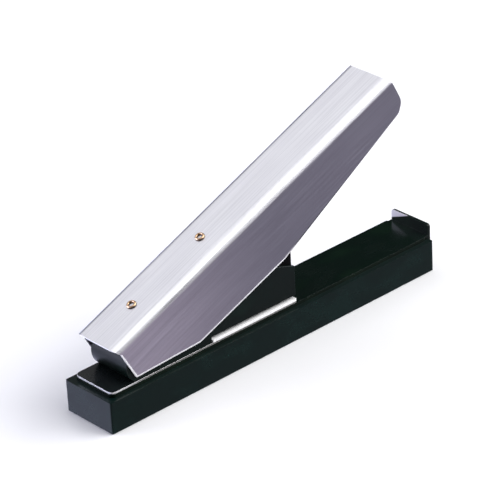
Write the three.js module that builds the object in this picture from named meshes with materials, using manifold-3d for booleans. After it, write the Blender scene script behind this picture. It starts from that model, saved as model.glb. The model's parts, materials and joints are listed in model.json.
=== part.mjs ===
// Desk slot punch: a long black base carries a punch mechanism at its hinge end, and a folded
// sheet-steel handle cover that is pressed down to drive a flat blade through a card.
// Millimetres. X runs along the base, +X away from the hinge end; Y is across; +Z is up.
// The part's origin is the middle of the base, on the surface that its feet stand on.
import * as THREE from "three";
import { mergeVertices } from "three/addons/utils/BufferGeometryUtils.js";
import Module from "manifold-3d";

const wasm = await Module();
wasm.setup();

// ---------------------------------------------------------------------------------------------
// Driving dimensions. Lengths along X are counted from the hinge end of the base.
// ---------------------------------------------------------------------------------------------
const BASE = { length: 185.7, width: 28.3, bottom: 0.3, top: 14.7, wall: 2, roof: 12 };
const BASE_CORNERS = { near: 0.8, far: 0.8 };
const BED = { start: 2.9, end: 183.8, width: 23.4, top: 16.3, nearCorner: 2.5, farCorner: 1.5 };
const FLANGE = { start: 185.8, end: 187.1, width: 22.4, bottom: 13.8, top: 21.4, corner: 1.4 };
const SOLE = { start: 3, end: 106, width: 23.2, top: 17.1, nearCorner: 3, farCorner: 0.6 };
const DIE = { start: 58.2, end: 105.6, width: 23.6, top: 18.4, corner: 0.4 };
const FRAME = {
  width: 22,
  wall: 1.5,
  floor: 21.4,
  wellStart: 30, // the well between the two walls is open from here to the far end
  plateau: 47,
  plateauEnd: 72,
  shoulder: { x: 94, z: 37.6 },
  end: 106,
  endTop: 33.5,
};
const THROAT = { depth: 58, top: 19.6 }; // a card slides in between the die plate and this height
const NOSE = { x: 21, z: 24.5, radius: 9 };
const BLADE = { x: 65.5, thickness: 3, width: 13, bottom: 22.6, top: 33.8, stemRadius: 3 };
const CHUTE = { margin: 0.8, bottom: 5 }; // chips fall down it, past the blade's own outline
const STROKE = 7.5; // the ram's travel, with a little to spare
const GUIDE = {
  flangeLength: 21,
  flangeTop: 25,
  flangeWidth: 18.8,
  towerLength: 11,
  towerTop: 36,
  towerWidth: 15.2,
};
const GUIDE_SCREWS_AT = [BLADE.x - 8, BLADE.x + 8];
const HEAD = { radius: 3, width: 14.4, bottom: 49.7, axis: 52.9, spigotRadius: 2.2 };
const COLLAR = { margin: 0.4, thickness: 1 }; // the round seat under the head for the spring
const RAM_PIN = { z: 52.1, radius: 0.8, length: 5.8 };
const SPRING = { radius: 4.7, wire: 0.5, turns: 4.5, stepsPerTurn: 18 };
const STOP = { start: 80, end: 105.8, width: 18.8, top: 46.5, corner: 0.8, screwAt: 93, pocket: 3 };
const BUMPER = { inset: 2, height: 2 };
const OPEN_PAD = { start: 0.5, end: 6, width: 14, height: 4.1 };
const PIVOT = { x: 48, z: 31, radius: 2.5 };
const OPEN_ANGLE = THREE.MathUtils.degToRad(22.3);
// Handle sizes are counted from the hinge end of its top face: along the face, then below it.
const COVER = { width: 24.3, sheet: 0.85, bend: 4, pivotAlong: 37.7, pivotBelow: 20.5 };
const LEVER = { width: 18.4, sheet: 1.5, bend: 2.4, webTop: 1.3, start: 12, end: 98, lobe: 6 };
const RIVETS_ALONG = [22.3, 63.8];
const RIVET = { headRadius: 2.1, headHeight: 0.75, shank: 1.3, dimple: 0.8, dimpleDepth: 0.6, roll: 0.8 };
const PLATE = { bottom: 1, top: 2 };
const TRAY = { start: 52, width: 15.8, wall: 1, floor: 2.2, top: 9.4, face: 1.8 };
const FINGER_GROOVE = { depth: 0.9, margin: 2.4 }; // pressed into the tray's face
const FOOT = { radius: 4.2, rim: 0.4 };
const FEET_AT = [[24, 6.9], [24, -6.9], [160, 6.9], [160, -6.9]];
const POSTS_AT = [[8, 9.7], [8, -9.7], [174, 9.7], [174, -9.7]];
const POST = { length: 5, inner: 8.2, drilledTo: 8.3 }; // each stands between tray and side wall
const CLEARANCE = 0.3; // around a screw, and between a turned piece and its neighbour
const FIT = 0.12; // around the pivot pin and the sliding blade
const SEAT = 0.05; // between a fastener's head and the face it clamps
const SMALL_HOLE = 0.2; // a small screw's hole is this much larger in radius
const THROUGH = 1; // how far a cutting shape runs past the face it cuts

// ---------------------------------------------------------------------------------------------
// Finishes
// ---------------------------------------------------------------------------------------------
const finish = (color, roughness, metalness) =>
  new THREE.MeshStandardMaterial({ color, roughness, metalness });
const blackEnamel = finish(0x15191a, 0.35, 0);
const blackSteel = finish(0x1b2021, 0.4, 0.3);
const brushedSteel = finish(0xd9d9df, 0.35, 1);
const brightSteel = finish(0xe6e7ec, 0.25, 1);
const blueSteel = finish(0x5c6068, 0.35, 1);
const brass = finish(0xc9a46a, 0.3, 1);
const rubber = finish(0x101112, 0.9, 0);
const blackPlastic = finish(0x17191a, 0.5, 0);

// ---------------------------------------------------------------------------------------------
// Shape helpers. Each returns a manifold solid, so that pieces can be joined and cut.
// ---------------------------------------------------------------------------------------------
function solid(geometry) {
  geometry.deleteAttribute("normal");
  geometry.deleteAttribute("uv");
  const merged = mergeVertices(geometry, 1e-4);
  return new wasm.Manifold(
    new wasm.Mesh({
      numProp: 3,
      vertProperties: merged.attributes.position.array,
      triVerts: new Uint32Array(merged.index.array),
    }),
  );
}

// A box between two corners.
function block([x0, x1], [y0, y1], [z0, z1]) {
  const box = new THREE.BoxGeometry(x1 - x0, y1 - y0, z1 - z0);
  return solid(box.translate((x0 + x1) / 2, (y0 + y1) / 2, (z0 + z1) / 2));
}

// A box that is centred across the base.
const bar = (along, width, height) => block(along, [-width / 2, width / 2], height);

// A round rod from one height to another.
function post(x, y, radius, [z0, z1], sides = 24) {
  const rod = new THREE.CylinderGeometry(radius, radius, z1 - z0, sides);
  return solid(rod.rotateX(Math.PI / 2).translate(x, y, (z0 + z1) / 2));
}

// A round rod across the base, about its centre line.
function crossRod(x, z, radius, width, sides = 32) {
  return solid(new THREE.CylinderGeometry(radius, radius, width, sides).translate(x, 0, z));
}

// A closed outline through corners [a, b, radius], each with a radius eased into a curve.
function outline(corners) {
  const shape = new THREE.Shape();
  const points = corners.map(([a, b]) => new THREE.Vector2(a, b));
  corners.forEach(([, , radius = 0], i) => {
    const here = points[i];
    const back = points.at(i - 1).clone().sub(here).normalize();
    const on = points[(i + 1) % points.length].clone().sub(here).normalize();
    const reach = radius / Math.tan(Math.acos(back.dot(on)) / 2);
    const start = here.clone().addScaledVector(back, reach);
    const end = here.clone().addScaledVector(on, reach);
    if (i) shape.lineTo(start.x, start.y);
    else shape.moveTo(start.x, start.y);
    if (radius) shape.quadraticCurveTo(here.x, here.y, end.x, end.y);
  });
  return shape;
}

const extrude = (shape, depth, curveSegments = 6) =>
  new THREE.ExtrudeGeometry(shape, { depth, curveSegments, bevelEnabled: false });

// An outline drawn in X and Y, raised from one height to another.
const raised = (shape, [z0, z1]) => solid(extrude(shape, z1 - z0).translate(0, 0, z0));

// A side outline drawn in X and Z, as wide across the base as stated.
function sideways(shape, width, curveSegments = 6) {
  const geometry = extrude(shape, width, curveSegments);
  return solid(geometry.rotateX(Math.PI / 2).translate(0, width / 2, 0));
}

// A section drawn in Y and Z, run along X.
function lengthwise(shape, [x0, x1]) {
  const turn = new THREE.Matrix4().makeBasis(
    new THREE.Vector3(0, 1, 0),
    new THREE.Vector3(0, 0, 1),
    new THREE.Vector3(1, 0, 0),
  );
  return solid(extrude(shape, x1 - x0).applyMatrix4(turn).translate(x0, 0, 0));
}

// A rectangle from x0 to x1, centred across, with its corners at either end rounded.
function roundedStrip([x0, x1], width, nearRadius, farRadius = 0) {
  const side = width / 2;
  return outline([
    [x0, -side, nearRadius],
    [x1, -side, farRadius],
    [x1, side, farRadius],
    [x0, side, nearRadius],
  ]);
}

function mesh(name, shape, material) {
  const { vertProperties, triVerts } = shape.getMesh();
  const geometry = new THREE.BufferGeometry();
  geometry.setAttribute("position", new THREE.BufferAttribute(vertProperties, 3));
  geometry.setIndex(new THREE.BufferAttribute(triVerts, 1));
  geometry.computeVertexNormals();
  const piece = new THREE.Mesh(geometry, material);
  piece.name = name;
  return piece;
}

// ---------------------------------------------------------------------------------------------
// Screws. Each stands upright in a hole of its own, with its head at one end.
// ---------------------------------------------------------------------------------------------
const FRAME_SCREW = { radius: 1.5, head: 2.8, headHeight: 1.9, socket: 1.3 };
const SMALL_SCREW = { radius: 1, head: 1.75, headHeight: 0.7, socket: 0.9 };
const HEAD_FACE = BASE.roof; // the screws that hold the bed and the punch bear on the roof's underside
const upwardScrews = {
  frame_screw_1: { x: 22, y: 5.5, tip: 26 },
  frame_screw_2: { x: 22, y: -5.5, tip: 26 },
  frame_screw_3: { x: 36, y: 0, tip: 20.6 },
  die_screw_1: { x: 82, y: 0, tip: 17.9 },
  die_screw_2: { x: 99, y: 0, tip: 17.9 },
  bed_screw_1: { x: 128, y: 0, tip: 15.8 },
  bed_screw_2: { x: 168, y: 0, tip: 15.8 },
};

// A socket-head screw whose head hangs below the stated face and whose shank runs up to its tip.
function upwardScrew({ x, y, tip }, size, face) {
  const top = face - SEAT;
  const bottom = top - size.headHeight;
  const head = post(x, y, size.head, [bottom, top]);
  const shank = post(x, y, size.radius, [top - SEAT, tip], 16);
  const socket = post(x, y, size.socket, [bottom - THROUGH, (bottom + top) / 2], 6);
  return head.add(shank).subtract(socket);
}

// The same screw the other way up: its head stands on the stated face.
function downwardScrew(x, y, tip, size, face) {
  const upright = upwardScrew({ x: 0, y: 0, tip: face - tip }, size, 0);
  return upright.rotate([180, 0, 0]).translate([x, y, face]);
}

// The holes that the upward screws need in a piece that reaches from z0 to z1.
function screwHoles(shape, x0, x1, z0, z1) {
  return Object.values(upwardScrews)
    .filter(({ x, tip }) => x > x0 && x < x1 && tip > z0)
    .reduce((cut, { x, y, tip }) => {
      const top = Math.min(tip + CLEARANCE, z1 + THROUGH);
      return cut.subtract(post(x, y, FRAME_SCREW.radius + CLEARANCE, [z0 - THROUGH, top], 16));
    }, shape);
}

// Small round holes at the stated places, between two heights.
function smallHoles(shape, places, heights, radius = SMALL_SCREW.radius + SMALL_HOLE) {
  return places.reduce((cut, [x, y]) => cut.subtract(post(x, y, radius, heights, 12)), shape);
}

// ---------------------------------------------------------------------------------------------
// Base: shell, bottom plate, feet, chip tray, bed plate
// ---------------------------------------------------------------------------------------------
const chuteHalf = BLADE.thickness / 2 + CHUTE.margin;
const chute = bar(
  [BLADE.x - chuteHalf, BLADE.x + chuteHalf],
  BLADE.width + 2 * CHUTE.margin,
  [CHUTE.bottom, DIE.top - THROUGH],
);

function baseShell() {
  const { length, width, bottom, top, wall, roof } = BASE;
  const inside = width - 2 * wall;
  const body = raised(roundedStrip([0, length], width, BASE_CORNERS.near, BASE_CORNERS.far), [bottom, top]);
  const hollow = bar([wall, length - wall], inside, [bottom - THROUGH, roof]);
  const trayMouth = bar(
    [length - 2 * wall, length + THROUGH],
    TRAY.width + 2 * CLEARANCE,
    [PLATE.top, TRAY.top + CLEARANCE],
  );
  const rooted = 0.5; // how far each screw post runs into the wall and the roof
  const posts = POSTS_AT.map(([x, y]) => {
    const across = [POST.inner, inside / 2 + rooted].map((v) => Math.sign(y) * v).sort((a, b) => a - b);
    return block([x - POST.length / 2, x + POST.length / 2], across, [PLATE.top + SEAT, roof + rooted]);
  });
  const shell = posts.reduce((sum, piece) => sum.add(piece), body.subtract(hollow));
  const drilled = smallHoles(shell, POSTS_AT, [0, POST.drilledTo]);
  return screwHoles(drilled.subtract(trayMouth).subtract(chute), 0, length, roof, top);
}

function bottomPlate() {
  const { length, width, wall } = BASE;
  const plate = bar(
    [wall + CLEARANCE, length - wall - CLEARANCE],
    width - 2 * wall - 2 * CLEARANCE,
    [PLATE.bottom, PLATE.top],
  );
  return smallHoles(plate, POSTS_AT, [PLATE.bottom - THROUGH, PLATE.top + THROUGH]);
}

// A round pad with a rounded lower rim.
function foot([x, y]) {
  const { radius, rim } = FOOT;
  const profile = [
    [0, 0],
    [radius - rim, 0],
    [radius, rim],
    [radius, PLATE.bottom],
    [0, PLATE.bottom],
  ].map(([r, z]) => new THREE.Vector2(r, z));
  return solid(new THREE.LatheGeometry(profile, 24).rotateX(Math.PI / 2).translate(x, y, 0));
}

// An open drawer under the die that catches the cut-out chips; its face closes the mouth.
function chipTray() {
  const { start, width, wall, floor, top, face } = TRAY;
  const end = BASE.length;
  const body = bar([start, end], width, [floor, top]);
  const inside = bar([start + wall, end - face], width - 2 * wall, [floor + wall, top + THROUGH]);
  const groove = bar(
    [end - FINGER_GROOVE.depth, end + THROUGH],
    width - 2 * FINGER_GROOVE.margin,
    [floor + FINGER_GROOVE.margin, top - FINGER_GROOVE.margin],
  );
  return body.subtract(inside).subtract(groove);
}

// The raised bed. A tongue at its far end runs out over the base and is folded up into a stop.
function bedPlate() {
  const { start, end, width, top, nearCorner, farCorner } = BED;
  const plate = raised(roundedStrip([start, end], width, nearCorner, farCorner), [BASE.top, top]);
  const tongue = bar([end - farCorner, FLANGE.end], FLANGE.width, [BASE.top + SEAT, top]);
  const side = FLANGE.width / 2;
  const upright = lengthwise(
    outline([
      [-side, FLANGE.bottom],
      [side, FLANGE.bottom],
      [side, FLANGE.top, FLANGE.corner],
      [-side, FLANGE.top, FLANGE.corner],
    ]),
    [FLANGE.start, FLANGE.end],
  );
  return screwHoles(plate.add(tongue).add(upright).subtract(chute), start, end, BASE.top, top);
}

// ---------------------------------------------------------------------------------------------
// Punch: sole plate, die plate, frame, blade guide, stop
// ---------------------------------------------------------------------------------------------
function solePlate() {
  const { start, end, width, top, nearCorner, farCorner } = SOLE;
  const plate = raised(roundedStrip([start, end], width, nearCorner, farCorner), [BED.top, top]);
  return screwHoles(plate.subtract(chute), start, end, BED.top, top);
}

// The slot in the die has the blade's size and a little clearance; it widens below.
const bladeSlot = (heights) =>
  bar(
    [BLADE.x - BLADE.thickness / 2 - FIT, BLADE.x + BLADE.thickness / 2 + FIT],
    BLADE.width + 2 * FIT,
    heights,
  );

function diePlate() {
  const { start, end, width, top, corner } = DIE;
  const plate = raised(roundedStrip([start, end], width, corner, corner), [SOLE.top, top]);
  const cut = plate.subtract(bladeSlot([SOLE.top - THROUGH, top + THROUGH])).subtract(chute);
  return screwHoles(cut, start, end, SOLE.top, top);
}

// The frame's side outline: a round nose at the hinge end, a slope that lies parallel to the
// open handle, a level plateau, and a step down to the far end above the throat.
function frameOutline() {
  const { plateau, plateauEnd, shoulder, end, endTop } = FRAME;
  const lowest = -Math.acos((NOSE.z - SOLE.top) / NOSE.radius) - Math.PI / 2;
  const slopeStart = Math.PI / 2 + OPEN_ANGLE;
  const slopeTopZ = NOSE.z + NOSE.radius * Math.cos(OPEN_ANGLE);
  const slopeTopX = NOSE.x - NOSE.radius * Math.sin(OPEN_ANGLE);
  const plateauStart = slopeTopX + (plateau - slopeTopZ) / Math.tan(OPEN_ANGLE);
  const shape = new THREE.Shape();
  shape.moveTo(THROAT.depth, SOLE.top);
  shape.lineTo(THROAT.depth, THROAT.top);
  shape.lineTo(end, THROAT.top);
  shape.lineTo(end, endTop);
  shape.lineTo(shoulder.x, shoulder.z);
  shape.lineTo(plateauEnd, plateau);
  shape.lineTo(plateauStart, plateau);
  shape.absarc(NOSE.x, NOSE.z, NOSE.radius, slopeStart, lowest + 2 * Math.PI, false);
  return shape;
}

// The screws that hold the guide and the stop stand in blind holes in the frame's floor.
function punchFrame() {
  const { width, wall, floor, wellStart, plateau, end } = FRAME;
  const well = bar([wellStart, end + THROUGH], width - 2 * wall, [floor, plateau + THROUGH]);
  const pinHole = crossRod(PIVOT.x, PIVOT.z, PIVOT.radius + FIT, width + 2 * THROUGH);
  const slot = bladeSlot([THROAT.top - THROUGH, floor + THROUGH]);
  const cut = sideways(frameOutline(), width, 20).subtract(well).subtract(pinHole).subtract(slot);
  const blind = [THROAT.top + 0.4, floor + THROUGH];
  const guideHoles = smallHoles(cut, GUIDE_SCREWS_AT.map((x) => [x, 0]), blind);
  const drilled = smallHoles(guideHoles, [[STOP.screwAt, 0]], blind, FRAME_SCREW.radius + SMALL_HOLE);
  return screwHoles(drilled, 0, THROAT.depth, SOLE.top, plateau);
}

// The guide: a flange on the frame's floor, and a tower that the blade and its stem slide in.
// The bore for the stem is as much deeper than the stem's rest as the ram travels.
function bladeGuide() {
  const { flangeLength, flangeTop, flangeWidth, towerLength, towerTop, towerWidth } = GUIDE;
  const around = (length) => [BLADE.x - length / 2, BLADE.x + length / 2];
  const flange = bar(around(flangeLength), flangeWidth, [FRAME.floor, flangeTop]);
  const tower = bar(around(towerLength), towerWidth, [FRAME.floor, towerTop]);
  const stemHole = post(BLADE.x, 0, BLADE.stemRadius + FIT, [BLADE.top - STROKE, towerTop + THROUGH]);
  const bored = flange.add(tower).subtract(bladeSlot([0, BLADE.top + FIT])).subtract(stemHole);
  return smallHoles(bored, GUIDE_SCREWS_AT.map((x) => [x, 0]), [0, flangeTop + THROUGH]);
}

// The stop under the handle's far half, with a pocket for the screw that holds it.
function stopBlock() {
  const { start, end, width, top, corner, screwAt, pocket } = STOP;
  const side = outline([
    [start, FRAME.floor],
    [end, FRAME.floor],
    [end, top, corner],
    [start, top, corner],
  ]);
  const screwHole = post(screwAt, 0, FRAME_SCREW.radius + SMALL_HOLE, [0, top], 16);
  const headPocket = post(screwAt, 0, FRAME_SCREW.head + CLEARANCE, [top - pocket, top + THROUGH]);
  return sideways(side, width).subtract(screwHole).subtract(headPocket);
}

function bumper() {
  const { inset, height } = BUMPER;
  return bar([STOP.start + inset, STOP.end - inset], STOP.width - 2 * inset, [STOP.top, STOP.top + height]);
}

// A rubber pad on the frame's slope, where the open handle's lever comes to rest.
function openStopPad() {
  const along = new THREE.Vector2(Math.cos(OPEN_ANGLE), Math.sin(OPEN_ANGLE));
  const out = new THREE.Vector2(-along.y, along.x);
  const corner = (distance, height) =>
    new THREE.Vector2(NOSE.x, NOSE.z)
      .addScaledVector(along, distance)
      .addScaledVector(out, NOSE.radius + height);
  const { start, end, width, height } = OPEN_PAD;
  const shape = new THREE.Shape([
    corner(start, SEAT),
    corner(end, SEAT),
    corner(end, height),
    corner(start, height),
  ]);
  return sideways(shape, width);
}

// ---------------------------------------------------------------------------------------------
// Ram: blade with its stem, head, cross pin; return spring
// ---------------------------------------------------------------------------------------------
// The cross pin's own direction is along X, through the head and the stem.
function crossPinX(radius, length) {
  const rod = new THREE.CylinderGeometry(radius, radius, length, 16);
  return solid(rod.rotateZ(Math.PI / 2).translate(BLADE.x, 0, RAM_PIN.z));
}

const crossPinHole = () => crossPinX(RAM_PIN.radius + FIT, RAM_PIN.length + 2 * THROUGH);

function punchBlade() {
  const { x, thickness, width, bottom, top, stemRadius } = BLADE;
  const blade = bar([x - thickness / 2, x + thickness / 2], width, [bottom, top]);
  const stem = post(x, 0, stemRadius, [top, HEAD.bottom - FIT]);
  const spigot = post(x, 0, HEAD.spigotRadius, [top, HEAD.axis]);
  return blade.add(stem).add(spigot).subtract(crossPinHole());
}

// The head's round top rolls under the lever's web as the handle comes down.
function ramHead() {
  const { radius, width, bottom, axis, spigotRadius } = HEAD;
  const body = bar([BLADE.x - radius, BLADE.x + radius], width, [bottom, axis]);
  const round = crossRod(BLADE.x, axis, radius, width);
  const stemHole = post(BLADE.x, 0, spigotRadius + FIT, [bottom - THROUGH, axis + FIT]);
  const collarRadius = SPRING.radius + SPRING.wire + COLLAR.margin;
  const collar = post(BLADE.x, 0, collarRadius, [bottom, bottom + COLLAR.thickness]);
  return body.add(round).add(collar).subtract(stemHole).subtract(crossPinHole());
}

class Helix extends THREE.Curve {
  constructor(x, radius, turns, [z0, z1]) {
    super();
    Object.assign(this, { x, radius, turns, z0, z1 });
  }
  getPoint(t, target = new THREE.Vector3()) {
    const angle = 2 * Math.PI * this.turns * t;
    return target.set(
      this.x + this.radius * Math.cos(angle),
      this.radius * Math.sin(angle),
      THREE.MathUtils.lerp(this.z0, this.z1, t),
    );
  }
}

function returnSpring() {
  const { radius, wire, turns, stepsPerTurn } = SPRING;
  const ends = [GUIDE.towerTop + wire + SEAT, HEAD.bottom - wire - SEAT];
  const extrudePath = new Helix(BLADE.x, radius, turns, ends);
  const section = new THREE.Shape().absarc(0, 0, wire, 0, 2 * Math.PI, false);
  const options = { extrudePath, steps: turns * stepsPerTurn, curveSegments: 4, bevelEnabled: false };
  return solid(new THREE.ExtrudeGeometry(section, options));
}

// ---------------------------------------------------------------------------------------------
// Handle, in its own frame: X along its top face from the hinge end, Z = 0 on the top face
// ---------------------------------------------------------------------------------------------
// The inverted channel's section, with the same sheet thickness round both bends.
function channelSection(width, depth, sheet, bend, top) {
  const side = width / 2;
  const shape = new THREE.Shape();
  shape.moveTo(-side, -depth);
  shape.absarc(-side + bend, top - bend, bend, Math.PI, Math.PI / 2, true);
  shape.absarc(side - bend, top - bend, bend, Math.PI / 2, 0, true);
  shape.lineTo(side, -depth);
  shape.lineTo(side - sheet, -depth);
  shape.absarc(side - bend, top - bend, bend - sheet, 0, Math.PI / 2, false);
  shape.absarc(-side + bend, top - bend, bend - sheet, Math.PI / 2, Math.PI, false);
  shape.lineTo(-side + sheet, -depth);
  return shape;
}

function rivetHoles(shape) {
  const heights = [-LEVER.webTop - LEVER.sheet - THROUGH, THROUGH];
  return RIVETS_ALONG.reduce((cut, x) => cut.subtract(post(x, 0, RIVET.shank + FIT, heights)), shape);
}

// The walls are deepest past the pivot, and rise towards the hinge end and the finger end.
function handleCover() {
  const deepest = 32.2;
  const sides = outline([
    [0, THROUGH],
    [0, 0],
    [2.2, -3.4],
    [3.7, -19.4, 1.2],
    [36.6, -31.3, 3],
    [89, -deepest, 4],
    [169, -19.1, 4.5],
    [172.5, -15, 2],
    [171.5, -4],
    [169.5, 0],
    [169.5, THROUGH],
  ]);
  const section = channelSection(COVER.width, deepest + THROUGH, COVER.sheet, COVER.bend, 0);
  const channel = lengthwise(section, [-THROUGH, 172.5 + THROUGH]);
  return rivetHoles(channel.intersect(sideways(sides, COVER.width + 2 * THROUGH)));
}

// The lever: a web under the cover and two cheeks that reach down to the pivot pin.
function handleLever() {
  const { width, sheet, bend, webTop, start, end, lobe } = LEVER;
  const { pivotAlong, pivotBelow } = COVER;
  const under = -webTop - sheet;
  const cheeks = new THREE.Shape();
  cheeks.moveTo(start, 0);
  cheeks.lineTo(start, under);
  cheeks.lineTo(25, under);
  cheeks.lineTo(27, -8);
  cheeks.absarc(pivotAlong, -pivotBelow, lobe, 0.9 * Math.PI, 2.15 * Math.PI, false);
  cheeks.lineTo(50, -10);
  cheeks.lineTo(60, -9);
  cheeks.lineTo(68, under);
  cheeks.lineTo(end, under);
  cheeks.lineTo(end, 0);
  const section = channelSection(width, pivotBelow + lobe + THROUGH, sheet, bend, -webTop);
  const channel = lengthwise(section, [start, end]);
  const pinHole = crossRod(pivotAlong, -pivotBelow, PIVOT.radius + FIT, width + 2 * THROUGH);
  return rivetHoles(channel.intersect(sideways(cheeks, width + 2 * THROUGH, 16)).subtract(pinHole));
}

// A semi-tubular rivet: domed head with a dimple on the cover, rolled end under the lever.
function rivet(x) {
  const { headRadius, headHeight, shank, dimple, dimpleDepth, roll } = RIVET;
  const under = LEVER.webTop + LEVER.sheet + SEAT;
  const profile = [
    [0, -under - roll],
    [shank + 0.6, -under - roll],
    [shank + 0.9, -under],
    [shank, -under],
    [shank, SEAT],
    [headRadius, SEAT],
    [headRadius, SEAT + 0.25],
    [headRadius - 0.35, headHeight - 0.15],
    [headRadius - 0.75, headHeight],
    [dimple + 0.25, headHeight],
    [dimple, headHeight - 0.2],
    [dimple, -dimpleDepth],
    [0, -dimpleDepth],
  ].map(([r, z]) => new THREE.Vector2(r, z));
  return solid(new THREE.LatheGeometry(profile, 24).rotateX(Math.PI / 2).translate(x, 0, 0));
}

// ---------------------------------------------------------------------------------------------
// Assembly
// ---------------------------------------------------------------------------------------------
const punch = new THREE.Group();
const fromHingeEnd = new THREE.Group(); // everything in it is placed from the hinge end of the base
fromHingeEnd.position.x = -FLANGE.end / 2;
punch.add(fromHingeEnd);

const tipInFloor = THROAT.top + 0.7; // where the screws in the frame's floor end
const stopPocketFloor = STOP.top - STOP.pocket;
fromHingeEnd.add(
  mesh("base_shell", baseShell(), blackEnamel),
  mesh("bottom_plate", bottomPlate(), blackSteel),
  mesh("chip_tray", chipTray(), blackPlastic),
  mesh("bed_plate", bedPlate(), blackEnamel),
  mesh("sole_plate", solePlate(), brightSteel),
  mesh("die_plate", diePlate(), brightSteel),
  mesh("punch_frame", punchFrame(), blackEnamel),
  mesh("blade_guide", bladeGuide(), blueSteel),
  mesh("stop_block", stopBlock(), blackSteel),
  mesh("bumper", bumper(), rubber),
  mesh("open_stop_pad", openStopPad(), rubber),
  mesh("pivot_pin", crossRod(PIVOT.x, PIVOT.z, PIVOT.radius, FRAME.width - 2 * FIT), brightSteel),
  mesh("punch_blade", punchBlade(), brightSteel),
  mesh("ram_head", ramHead(), blueSteel),
  mesh("ram_pin", crossPinX(RAM_PIN.radius, RAM_PIN.length), brightSteel),
  mesh("return_spring", returnSpring(), blueSteel),
  mesh("stop_screw", downwardScrew(STOP.screwAt, 0, tipInFloor, FRAME_SCREW, stopPocketFloor), blueSteel),
);
for (const [name, place] of Object.entries(upwardScrews))
  fromHingeEnd.add(mesh(name, upwardScrew(place, FRAME_SCREW, HEAD_FACE), blueSteel));
GUIDE_SCREWS_AT.forEach((x, i) => {
  const screw = downwardScrew(x, 0, tipInFloor, SMALL_SCREW, GUIDE.flangeTop);
  fromHingeEnd.add(mesh(`guide_screw_${i + 1}`, screw, blueSteel));
});
POSTS_AT.forEach(([x, y], i) => {
  const screw = upwardScrew({ x, y, tip: 8 }, SMALL_SCREW, PLATE.bottom);
  fromHingeEnd.add(mesh(`bottom_screw_${i + 1}`, screw, blueSteel));
});
FEET_AT.forEach((place, i) => fromHingeEnd.add(mesh(`rubber_foot_${i + 1}`, foot(place), rubber)));

const handle = new THREE.Group(); // turns about the pivot pin
handle.position.set(PIVOT.x, 0, PIVOT.z);
handle.rotation.y = -OPEN_ANGLE;
const fromTopEdge = new THREE.Group();
fromTopEdge.position.set(-COVER.pivotAlong, 0, COVER.pivotBelow);
fromTopEdge.add(
  mesh("handle_cover", handleCover(), brushedSteel),
  mesh("handle_lever", handleLever(), blackSteel),
);
RIVETS_ALONG.forEach((x, i) => fromTopEdge.add(mesh(`rivet_${i + 1}`, rivet(x), brass)));
handle.add(fromTopEdge);
fromHingeEnd.add(handle);

export default punch;
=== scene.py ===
"""Looks of a desk slot punch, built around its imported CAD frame.

A long enamelled base carries a blade mechanism at its hinge end, and a folded sheet-steel handle
is pressed down over it. Everything is in metres, in the frame of the CAD part: +X runs away from
the hinge end, +Y across to the left, +Z up, with the origin under the middle of the base.
"""
import json
import logging
import math
from dataclasses import dataclass
from enum import Enum

import bmesh
import bpy
from mathutils import Matrix, Vector


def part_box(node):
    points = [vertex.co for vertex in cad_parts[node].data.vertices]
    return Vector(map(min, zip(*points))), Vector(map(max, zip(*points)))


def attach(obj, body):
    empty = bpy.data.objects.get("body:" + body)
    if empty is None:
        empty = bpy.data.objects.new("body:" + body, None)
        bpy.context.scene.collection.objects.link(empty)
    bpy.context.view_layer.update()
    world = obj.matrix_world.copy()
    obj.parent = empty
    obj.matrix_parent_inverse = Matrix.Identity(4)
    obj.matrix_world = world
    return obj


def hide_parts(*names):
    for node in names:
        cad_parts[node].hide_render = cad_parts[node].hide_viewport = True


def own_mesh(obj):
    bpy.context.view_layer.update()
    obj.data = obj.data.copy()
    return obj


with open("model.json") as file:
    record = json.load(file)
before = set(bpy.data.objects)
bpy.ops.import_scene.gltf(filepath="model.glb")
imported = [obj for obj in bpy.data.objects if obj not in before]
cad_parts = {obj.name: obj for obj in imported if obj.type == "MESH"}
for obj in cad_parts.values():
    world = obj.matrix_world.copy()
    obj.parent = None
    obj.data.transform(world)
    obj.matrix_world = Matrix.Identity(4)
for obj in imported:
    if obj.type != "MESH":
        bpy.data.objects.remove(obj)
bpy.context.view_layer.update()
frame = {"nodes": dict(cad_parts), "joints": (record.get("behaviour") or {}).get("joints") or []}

log = logging.getLogger("slot_punch")
MM = 0.001


# ---------------------------------------------------------------------------------------------
# Small tools
# ---------------------------------------------------------------------------------------------
def linear(colour: str) -> tuple[float, float, float, float]:
    """Turns an sRGB hex colour into linear light.

    Args:
        colour: The colour as "#rrggbb".

    Returns:
        Red, green, blue and a full alpha.
    """
    channels = [int(colour[i : i + 2], 16) / 255 for i in (1, 3, 5)]
    red, green, blue = (c / 12.92 if c <= 0.04045 else ((c + 0.055) / 1.055) ** 2.4 for c in channels)
    return red, green, blue, 1.0


def add_node(
    tree: bpy.types.NodeTree,
    kind: str,
    settings: dict[str, object] | None = None,
    inputs: dict[str | int, object] | None = None,
) -> bpy.types.Node:
    """Adds a node with its settings, input values and links.

    Args:
        tree: The node tree that takes the node.
        kind: The node's type, such as "ShaderNodeTexNoise".
        settings: Properties of the node by name.
        inputs: Input sockets by name or number; another node's output becomes a link.

    Returns:
        The new node.
    """
    node = tree.nodes.new(kind)
    for key, value in (settings or {}).items():
        setattr(node, key, value)
    for key, value in (inputs or {}).items():
        if isinstance(value, bpy.types.NodeSocket):
            tree.links.new(value, node.inputs[key])
        else:
            node.inputs[key].default_value = value
    return node


def per_metre(size_mm: float) -> float:
    """Gives the texture scale at which one cell of a pattern measures size_mm."""
    return 1 / (size_mm * MM)


def in_metres(reach_mm: tuple[float, float]) -> tuple[float, float]:
    """Turns the two ends of a stretch from millimetres to metres."""
    return reach_mm[0] * MM, reach_mm[1] * MM


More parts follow.
